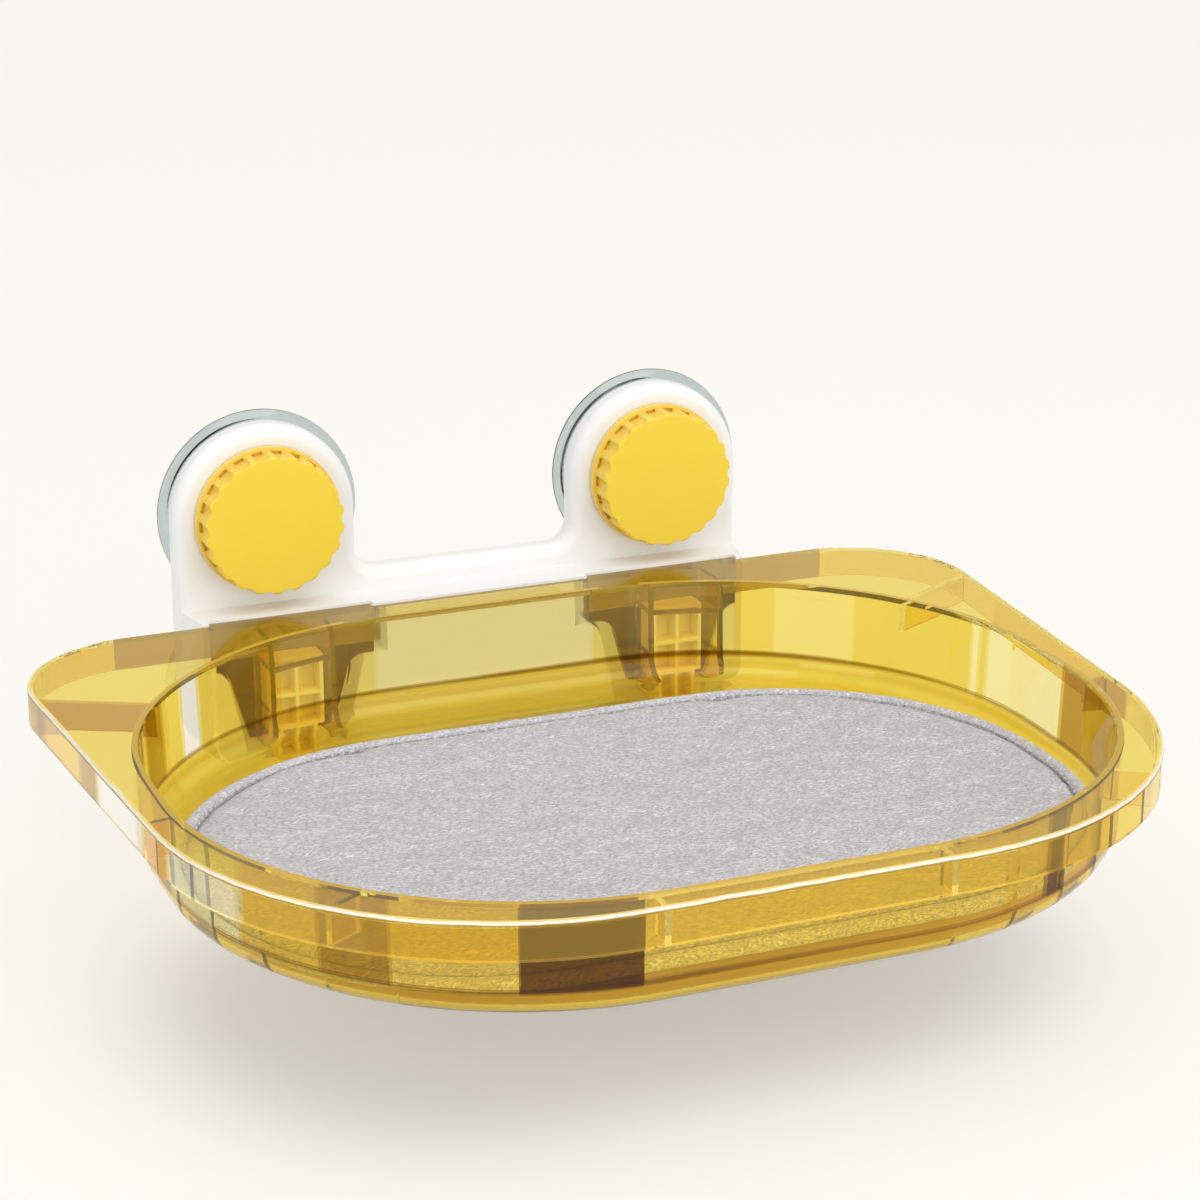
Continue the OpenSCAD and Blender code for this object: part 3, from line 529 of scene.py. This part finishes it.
def clear_moulding(name, blocks, passes, lowest=-0.0755):
    """The clear yellow plastic, with the painted darker and paler blocks of one wall that stand in
    for the light and shade seen through it.
    """
    finish, tree, shader = new_finish(name, Roughness=0.0, IOR=1.3, Transmission_Weight=0.94,
                                      Coat_Weight=0.1, Coat_Roughness=0.0)
    flats = shade_node(tree, "Group", {"Outside Step": math.radians(11.25), "Tilt": 0.03,
                                       "Inside Step": math.radians(15)}, node_tree=facets)
    place = shade_node(tree, "TexCoord")
    flow = cloudy(tree, place.outputs["Object"], 26.0, 2.0)
    tint = mixed(tree, flow, (0.89, 0.705, 0.10, 1), (0.915, 0.74, 0.13, 1))
    centred = vector_calc(tree, "ADD", place.outputs["Object"], bowl_middle)
    parts = shade_node(tree, "SeparateXYZ", {0: centred})
    turn = calc(tree, "ARCTAN2", parts.outputs["Y"], parts.outputs["X"])
    block = shade_node(tree, "ValToRGB", {"Fac": spread(tree, turn, 0.0, 1.0, -math.pi, math.pi)})
    ramp = block.color_ramp
    ramp.interpolation = "CONSTANT"
    ramp.elements[1].position = 1.0
    ramp.elements[0].color = wall_tones_and_painted_light[blocks[0][1]]
    for start, tone in blocks[1:]:
        ramp.elements.new((start + 180) / 360).color = wall_tones_and_painted_light[tone]
    spot = shade_node(tree, "SeparateXYZ", {0: place.outputs["Object"]})
    foot = spread(tree, spot.outputs["Z"], 0.0, 1.0, foot_low, foot_high)
    stretched = shade_node(tree, "Mapping", {"Vector": place.outputs["Object"],
                                             "Scale": (9.0, 9.0, 700.0)})
    drift = spread(tree, cloudy(tree, stretched.outputs[0], 1.0, 2.0), -0.12, 0.12)
    shade = shade_node(tree, "ValToRGB", {"Fac": calc(tree, "ADD", foot, drift)})
    fade = shade.color_ramp
    fade.elements[0].position = 0.0
    fade.elements[0].color = (0.86, 0.74, 0.36, 1)
    fade.elements[1].position = 1.0
    fade.elements[1].color = (1, 1, 1, 1)
    for at, colour in foot_painted_bands:
        fade.elements.new(at).color = colour
    # The painted blocks are on the upright walls only, and above the painted bands
    facing = shade_node(tree, "SeparateXYZ", {0: place.outputs["Normal"]})
    upright = spread(tree, calc(tree, "ABSOLUTE", facing.outputs["Z"]), 1.0, 0.0, 0.25, 0.55)
    above = spread(tree, spot.outputs["Z"], 0.0, 1.0, lowest, lowest + 0.0015)
    depth = mixed(tree, calc(tree, "MULTIPLY", upright, above), tint, block.outputs["Color"])
    wire(tree, shader,
         Base_Color=mixed(tree, 1.0, depth, shade.outputs["Color"], "MULTIPLY"),
         Normal=relief(tree, flow, 0.12, 0.001, Normal=flats.outputs["Normal"]))
    let_light_through(tree, shader, passes)
    return finish


def edge_finish(name, dark, painted_bright, painted_glint, clear):
    """An edge of the clear plastic with painted bright and dark lines: a painted highlight where it
    rounds over, painted shade where it stands upright.
    """
    finish, tree, shader = new_finish(name, Roughness=0.12, IOR=1.3, Transmission_Weight=clear)
    place = shade_node(tree, "TexCoord")
    facing = shade_node(tree, "SeparateXYZ", {0: place.outputs["Normal"]})
    shift = spread(tree, cloudy(tree, place.outputs["Object"], 75.0, 3.0), -0.3, 0.3)
    height = calc(tree, "ADD", calc(tree, "ABSOLUTE", facing.outputs["Z"]), shift)
    painted_lines = shade_node(tree, "ValToRGB", {"Fac": height})
    ramp = painted_lines.color_ramp
    ramp.elements[0].position = 0.18
    ramp.elements[0].color = dark
    ramp.elements[1].position = 0.92
    ramp.elements[1].color = painted_bright
    ramp.elements.new(0.38).color = painted_glint
    ramp.elements.new(0.80).color = painted_glint
    wire(tree, shader, Base_Color=painted_lines.outputs["Color"])
    let_light_through(tree, shader, (0.95, 0.93, 0.885, 1))
    return finish


def from_mouth(spot):
    """How far a place lies outside the bowl's mouth, seen from above."""
    past_x = max(0.0, abs(spot.x) - mouth_flat_x)
    past_y = max(0.0, abs(spot.y - bowl_mid_y) - mouth_flat_y)
    return math.hypot(past_x, past_y) - mouth_r


def at_rim_height(*spots):
    return all(abs(spot.z - rim_z) < 2 * weld_gap for spot in spots)


def edge_ends(piece, edge):
    """The places of an edge's two ends."""
    return [piece.data.vertices[i].co for i in edge.vertices]


bowl_slot, skirt_slot, hanger_slot, lip_slot, rim_slot, rib_slot = range(6)
# The bowl, skirt and hanger finishes carry painted light and shade; the lip, rim and rib finishes
# carry painted highlights and dark lines
tray = merged_copy(
    "tray_moulding", "tray",
    clear_moulding("clear_yellow_bowl", bowl_painted_blocks, (0.98, 0.965, 0.93, 1)),
    clear_moulding("clear_yellow_skirt", skirt_painted_blocks, (0.93, 0.895, 0.82, 1)),
    clear_moulding("clear_yellow_hanger", hanger_painted_blocks, (0.985, 0.975, 0.95, 1), -0.2),
    edge_finish("clear_yellow_lip", (0.16, 0.07, 0.004, 1), (0.66, 0.42, 0.04, 1),
                (0.90, 0.70, 0.20, 1), 0.2),
    edge_finish("clear_yellow_rim", (0.42, 0.24, 0.02, 1), (0.93, 0.72, 0.22, 1),
                (1.0, 0.97, 0.86, 1), 0.25),
    edge_finish("clear_yellow_ribs", (0.88, 0.64, 0.13, 1), (0.95, 0.76, 0.26, 1),
                (1.0, 0.94, 0.72, 1), 0.3))
bpy.ops.object.mode_set(mode="EDIT")
bpy.ops.mesh.select_mode(type="EDGE")
bpy.ops.mesh.select_all(action="DESELECT")
bpy.ops.object.mode_set(mode="OBJECT")

# The flange's outer rim is well rounded, apart from its back along the bracket
rim_keys = set()
for face in tray.data.polygons:
    if abs(face.normal.z) < 0.2:
        rim_keys.update(key for key in face.edge_keys
                        if at_rim_height(*(tray.data.vertices[i].co for i in key)))
for edge in tray.data.edges:
    low, high = edge_ends(tray, edge)
    middle = (low + high) / 2
    edge.select = edge.key in rim_keys and middle.y < rim_back_y and from_mouth(middle) > 0.008
bpy.ops.object.mode_set(mode="EDIT")
bpy.ops.mesh.bevel(offset=0.0016, segments=4, affect="EDGES", material=rim_slot)
bpy.ops.mesh.select_all(action="DESELECT")
bpy.ops.object.mode_set(mode="OBJECT")

# The lip of the bowl's mouth is a flat ring, left out where the hangers run into it
for edge in tray.data.edges:
    low, high = edge_ends(tray, edge)
    middle = (low + high) / 2
    away = max(abs(from_mouth(low)), abs(from_mouth(high)))
    at_mouth = at_rim_height(low, high) and away < 0.0006
    edge.select = at_mouth and (middle.y < mouth_cut_y or abs(middle.x) < mouth_cut_x)
bpy.ops.object.mode_set(mode="EDIT")
bpy.ops.mesh.bevel(offset=0.0024, segments=2, profile=1.0, affect="EDGES", material=lip_slot)
bpy.ops.object.mode_set(mode="OBJECT")
ease_edges(tray, 0.0008, segments=3, edge_slot=rim_slot)

# Each face takes the finish of its place: lip, rim, ribs, hangers, skirt or bowl
for face in tray.data.polygons:
    outside = from_mouth(face.center)
    behind = face.center.y > hangers_from_y
    if face.material_index == lip_slot:
        face.material_index = lip_slot if face.normal.z > 0.9 else bowl_slot
    elif face.material_index == rim_slot:
        if outside < lip_reach:
            face.material_index = lip_slot
        elif behind or rib_low < face.center.z < rib_high:
            face.material_index = rib_slot
    elif behind:
        face.material_index = hanger_slot
    elif outside > skirt_from:
        face.material_index = skirt_slot
fit_piece(tray, None, "clear_yellow", "tray_body", "tray")

# The mat's backing: a thin dark rubbery sheet, cut a little smaller than the pad,
# that keeps the mat from sliding in the bowl.
mat_low, mat_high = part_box("mat_piping")
mat_half = mat_high.x
mat_mid_y = (mat_low.y + mat_high.y) / 2
mat_half_d = (mat_high.y - mat_low.y) / 2
mat_corner = 0.114


def oval_slab(name, inset, bottom, top):
    """A slab with the mat's rounded outline, drawn in by an inset."""
    bpy.ops.object.select_all(action="DESELECT")
    bpy.ops.mesh.primitive_cube_add(size=1, location=(0, mat_mid_y, (bottom + top) / 2))
    piece = bpy.context.object
    piece.name = name
    piece.dimensions = (2 * (mat_half - inset), 2 * (mat_half_d - inset), top - bottom)
    bpy.ops.object.transform_apply(location=True, rotation=True, scale=True)
    bpy.ops.object.mode_set(mode="EDIT")
    bpy.ops.mesh.select_mode(type="EDGE")
    bpy.ops.mesh.select_all(action="DESELECT")
    bpy.ops.object.mode_set(mode="OBJECT")
    for edge in piece.data.edges:
        low, high = edge_ends(piece, edge)
        edge.select = abs(low.z - high.z) > (top - bottom) / 2
    bpy.ops.object.mode_set(mode="EDIT")
    bpy.ops.mesh.bevel(offset=mat_corner - inset, segments=20, affect="EDGES")
    bpy.ops.object.mode_set(mode="OBJECT")
    return piece


base_low, base_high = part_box("mat_base")
backing = oval_slab("mat_backing_sheet", 0.006, base_low.z, base_high.z)
bpy.ops.object.shade_smooth_by_angle(angle=smooth_angle)
grip_rubber, tree, shader = new_finish("grip_rubber", Roughness=0.7)
place = shade_node(tree, "TexCoord")
dots = shade_node(tree, "TexVoronoi", {"Vector": place.outputs["Object"], "Scale": 260.0,
                                       "Randomness": 0.0}, feature="F1")
raised = spread(tree, dots.outputs["Distance"], 1.0, 0.0, 0.18, 0.3)
wire(tree, shader,
     Base_Color=mixed(tree, raised, (0.16, 0.16, 0.165, 1), (0.25, 0.25, 0.255, 1)),
     Normal=relief(tree, raised, 0.8, 0.0003))
fit_piece(backing, grip_rubber, "mat_backing", "mat", "mat_base")

# The mat's pad: short grey felt over a thin foam, swollen by a cloth simulation so
# that its top crowns and dips like stuffed fabric. It lies flat on its backing.
pad_low, pad_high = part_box("mat_pad")
pad_inset, pad_crown = 0.0034, 0.0006
flat_part, firm_part = 0.0015, 0.003
most_swell = 0.0013
seam_inset = 0.0066
groove_depth, groove_width = 0.0013, 0.0019


def from_seam(spot):
    """How far a place on the mat lies from its seam, seen from above."""
    along = max(0.0, abs(spot.x) - mat_half + mat_corner)
    across = max(0.0, abs(spot.y - mat_mid_y) - mat_half_d + mat_corner)
    return math.hypot(along, across) - (mat_corner - seam_inset)


pad = oval_slab("mat_felt_pad", pad_inset, pad_low.z, pad_high.z - pad_crown)
bpy.ops.object.mode_set(mode="EDIT")
bpy.ops.mesh.select_all(action="DESELECT")
bpy.ops.mesh.select_mode(type="FACE")
bpy.ops.object.mode_set(mode="OBJECT")
for face in pad.data.polygons:
    face.select = face.normal.z > 0.9
bpy.ops.object.mode_set(mode="EDIT")
bpy.ops.mesh.bevel(offset=0.0024, segments=3, affect="EDGES")
bpy.ops.object.mode_set(mode="OBJECT")
remesh = pad.modifiers.new("even_cloth", "REMESH")
remesh.mode = "VOXEL"
remesh.voxel_size = 0.0036
bpy.ops.object.modifier_apply(modifier=remesh.name)
before = [v.co.copy() for v in pad.data.vertices]
cloth = pad.modifiers.new("stuffing", "CLOTH")
cloth.settings.quality = 4
cloth.settings.use_pressure = True
cloth.settings.uniform_pressure_force = 2.5
cloth.settings.effector_weights.gravity = 0
for step_frame in range(1, 21):
    scene.frame_set(step_frame)
bpy.ops.object.modifier_apply(modifier=cloth.name)
scene.frame_set(1)
# The underside stays flat, and no place moves further than the box allows
for v, start in zip(pad.data.vertices, before):
    move = v.co - start
    if move.length > most_swell:
        move *= most_swell / move.length
    if start.z < pad_low.z + flat_part:
        move = Vector((0, 0, 0))
    v.co = start + move
# The top is a little uneven, and the seam draws it in along a groove
for v in pad.data.vertices:
    if v.co.z > pad_low.z + firm_part:
        v.co.z += 0.0007 * noise.noise(v.co * 28) + 0.0003 * noise.noise(v.co * 90)
        v.co.z -= groove_depth * math.exp(-(from_seam(v.co) / groove_width) ** 2)
smooth = pad.modifiers.new("soft_surface", "SUBSURF")
smooth.levels = 1
smooth.render_levels = 1
bpy.ops.object.modifier_apply(modifier=smooth.name)
bpy.ops.object.shade_smooth()

# Short brushed fibres that lie in small swirls, in light and dark tones of their own, with painted
# light on their tops and painted shade below them
felt_pile, given, result = node_group(
    "felt_pile",
    (("Fibre Scale", "Float", 620.0), ("Contrast", "Float", 1.0)),
    (("Colour", "Color"), ("Height", "Float"), ("Roughness", "Float")))
place = shade_node(felt_pile, "TexCoord")
swirl = shade_node(felt_pile, "TexNoise", {"Vector": place.outputs["Object"], "Scale": 75.0,
                                           "Detail": 2.0})
bend = vector_calc(felt_pile, "SUBTRACT", swirl.outputs["Color"], (0.5, 0.5, 0.5))
bent = shade_node(felt_pile, "VectorMath", {0: bend, "Scale": 0.0085}, operation="SCALE")
moved = vector_calc(felt_pile, "ADD", place.outputs["Object"], bent.outputs[0])
combed = shade_node(felt_pile, "Mapping", {"Vector": moved, "Rotation": (0, 0, math.radians(35)),
                                           "Scale": (1.0, 4.2, 1.5)})
strand = cloudy(felt_pile, combed.outputs[0], given.outputs["Fibre Scale"], 3.0, 0.65)
sharp = spread(felt_pile, strand, 0.0, 1.0, 0.38, 0.62)
patch = cloudy(felt_pile, place.outputs["Object"], 24.0, 3.0)
tone = shade_node(felt_pile, "ValToRGB", {"Fac": sharp})
ramp = tone.color_ramp
ramp.elements[0].position = 0.0
ramp.elements[0].color = (0.43, 0.42, 0.45, 1)
ramp.elements[1].position = 1.0
ramp.elements[1].color = (0.93, 0.92, 0.95, 1)
ramp.elements.new(0.5).color = (0.69, 0.68, 0.71, 1)
cast = mixed(felt_pile, patch, (0.93, 0.93, 0.95, 1), (1.03, 1.02, 1.02, 1))
wire(felt_pile, result,
     Colour=mixed(felt_pile, 1.0, tone.outputs["Color"], cast, "MULTIPLY"),
     Height=calc(felt_pile, "MULTIPLY", sharp, given.outputs["Contrast"]),
     Roughness=spread(felt_pile, sharp, 0.98, 0.86))


def felt(name, scale, depth):
    """Grey felt with a soft sheen at its edges."""
    finish, tree, shader = new_finish(name, Sheen_Weight=0.25, Sheen_Roughness=0.5,
                                      Specular_IOR_Level=0.15)
    pile = shade_node(tree, "Group", {"Fibre Scale": scale}, node_tree=felt_pile)
    wire(tree, shader, Base_Color=pile.outputs["Colour"], Roughness=pile.outputs["Roughness"],
         Normal=relief(tree, pile.outputs["Height"], 0.7, depth))
    return finish, tree, shader


grey_felt, tree, shader = felt("grey_felt", 520.0, 0.0006)

# Painted shade: the felt is darker in the seam's groove
pile_colour = shader.inputs["Base Color"].links[0].from_socket
place = shade_node(tree, "TexCoord")
centred = vector_calc(tree, "ADD", place.outputs["Object"], (0, -mat_mid_y, 0))
folded = vector_calc(tree, "ABSOLUTE", centred)
straight = (mat_half - mat_corner, mat_half_d - mat_corner, 1)
past = vector_calc(tree, "MAXIMUM", vector_calc(tree, "SUBTRACT", folded, straight), (0, 0, 0))
reach = vector_calc(tree, "LENGTH", past)
gap = calc(tree, "ABSOLUTE", calc(tree, "SUBTRACT", reach, mat_corner - seam_inset))
groove_painted_shade = spread(tree, gap, 0.58, 1.0, 0.0005, groove_width)
groove_shaded_pile = shade_node(tree, "VectorMath", {0: pile_colour, "Scale": groove_painted_shade}, operation="SCALE")
wire(tree, shader, Base_Color=groove_shaded_pile.outputs[0])
fit_piece(pad, grey_felt, "mat_fabric", "mat", "mat_pad")

# The mat's rolled edge: the same felt sewn round a soft cord. It is drawn as a tube
# along the sides and spun round the four corners.
roll_r = 0.003
roll_z = (mat_low.z + mat_high.z) / 2
turn_x = mat_half - mat_corner
turn_back = mat_high.y - mat_corner
turn_front = mat_low.y + mat_corner
quarter = math.radians(90)
bpy.ops.object.select_all(action="DESELECT")
bpy.ops.mesh.primitive_circle_add(vertices=20, radius=roll_r, rotation=(0, quarter, 0),
                                  location=(-turn_x, mat_low.y + roll_r, roll_z))
piping = bpy.context.object
piping.name = "mat_rolled_edge"
bpy.ops.object.mode_set(mode="EDIT")
bpy.ops.mesh.select_mode(type="VERT")
bpy.ops.mesh.select_all(action="SELECT")
for run, centre in (((2 * turn_x, 0, 0), (turn_x, turn_front, roll_z)),
                    ((0, turn_back - turn_front, 0), (turn_x, turn_back, roll_z)),
                    ((-2 * turn_x, 0, 0), (-turn_x, turn_back, roll_z)),
                    ((0, turn_front - turn_back, 0), (-turn_x, turn_front, roll_z))):
    parts = max(1, round(Vector(run).length / 0.004))
    step = tuple(c / parts for c in run)
    for part in range(parts):
        bpy.ops.mesh.extrude_region_move(TRANSFORM_OT_translate={"value": step})
    bpy.ops.mesh.spin(steps=44, angle=quarter, center=centre, axis=(0, 0, -1))
bpy.ops.mesh.select_all(action="SELECT")
bpy.ops.mesh.remove_doubles(threshold=0.00005)
bpy.ops.mesh.normals_make_consistent(inside=False)
bpy.ops.object.mode_set(mode="OBJECT")
bpy.ops.object.transform_apply(location=True, rotation=True, scale=True)
for v in piping.data.vertices:
    v.co += v.normal * (0.00022 * noise.noise(v.co * 130) + 0.00012 * noise.noise(v.co * 420))
bpy.ops.object.shade_smooth()
rolled_felt, tree, shader = felt("rolled_felt", 620.0, 0.0004)
fit_piece(piping, rolled_felt, "mat_fabric", "mat", "mat_piping")

# The seam just inside the rolled edge: a row of short grey stitches that sink into
# the felt, each the same small stitch laid along the outline.
stitch_pitch = 0.0046
stitch_slant = 0.12
stitch_sunk = 0.0007
stitch_shape = (1.6, 0.46, 0.42)


def outline_places(inset, pitch):
    """Places and directions at even steps along the mat's outline, drawn in."""
    radius = mat_corner - inset
    across, deep = 2 * turn_x, turn_back - turn_front
    runs = ((across, (-turn_x, turn_front), 0), (deep, (turn_x, turn_front), 90),
            (across, (turn_x, turn_back), 180), (deep, (-turn_x, turn_back), 270))
    whole = sum(run[0] for run in runs) + 2 * math.pi * radius
    total = round(whole / pitch)
    places = []
    for i in range(total):
        left = i * whole / total
        for length, start, heading in runs:
            turn = math.radians(heading)
            ahead = Vector((math.cos(turn), math.sin(turn), 0))
            centre = Vector((start[0], start[1], 0))
            if left <= length:
                side = Vector((math.sin(turn), -math.cos(turn), 0)) * radius
                places.append((centre + ahead * left + side, turn))
                break
            left -= length
            if left <= radius * quarter:
                bend = turn + left / radius
                side = Vector((math.sin(bend), -math.cos(bend), 0)) * radius
                places.append((centre + ahead * length + side, bend))
                break
            left -= radius * quarter
    return places


bpy.ops.object.select_all(action="DESELECT")
bpy.ops.mesh.primitive_uv_sphere_add(segments=8, ring_count=5, radius=0.001)
stitch = bpy.context.object
bpy.ops.transform.resize(value=stitch_shape)
bpy.ops.object.transform_apply(location=True, rotation=True, scale=True)
stitches = []
for spot, turn in outline_places(seam_inset, stitch_pitch):
    copy = stitch.copy()
    copy.data = stitch.data.copy()
    copy.matrix_world = (Matrix.Translation((spot.x, spot.y, pad_high.z - stitch_sunk))
                         @ Matrix.Rotation(turn + stitch_slant, 4, "Z"))
    scene.collection.objects.link(copy)
    stitches.append(copy)
bpy.data.objects.remove(stitch)
bpy.ops.object.select_all(action="DESELECT")
for copy in stitches:
    copy.select_set(True)
seam = stitches[0]
seam.name = "mat_seam_stitches"
bpy.context.view_layer.objects.active = seam
bpy.ops.object.join()
bpy.ops.object.transform_apply(location=True, rotation=True, scale=True)
bpy.ops.object.shade_smooth()
seam_thread, tree, shader = new_finish("seam_thread", Roughness=0.8, Sheen_Weight=0.2)
place = shade_node(tree, "TexCoord")
ply = shade_node(tree, "TexWave", {"Vector": place.outputs["Object"], "Scale": 900.0,
                                   "Distortion": 1.5}, bands_direction="DIAGONAL").outputs["Fac"]
wire(tree, shader,
     Base_Color=mixed(tree, ply, (0.46, 0.45, 0.47, 1), (0.74, 0.73, 0.75, 1)),
     Normal=relief(tree, ply, 0.5, 0.0002))
fit_piece(seam, seam_thread, "mat_fabric", "mat")
